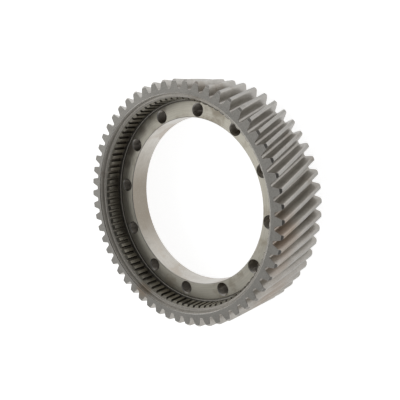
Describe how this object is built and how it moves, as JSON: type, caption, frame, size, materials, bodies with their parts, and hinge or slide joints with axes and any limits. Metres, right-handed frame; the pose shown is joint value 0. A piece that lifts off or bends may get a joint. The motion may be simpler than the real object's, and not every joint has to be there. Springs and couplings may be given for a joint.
{
  "type": "bull gear",
  "caption": "Large ring gear with left-hand helical teeth outside, straight splines inside a deep front recess, and a bored inner flange with a circle of tapped holes.",
  "frame": {"origin": "centre of the rear face, where the gear rests when it lies flat", "axes": "+Z along the gear axis, from the rear face towards the front face with the splined recess; +X through the centre of a tapped hole"},
  "size_m": [0.212, 0.212, 0.062],
  "materials": {
    "gear_steel": "ground and turned steel, satin"
  },
  "bodies": {
    "root": {"bull_gear": "gear_steel"}
  },
  "joints": []
}
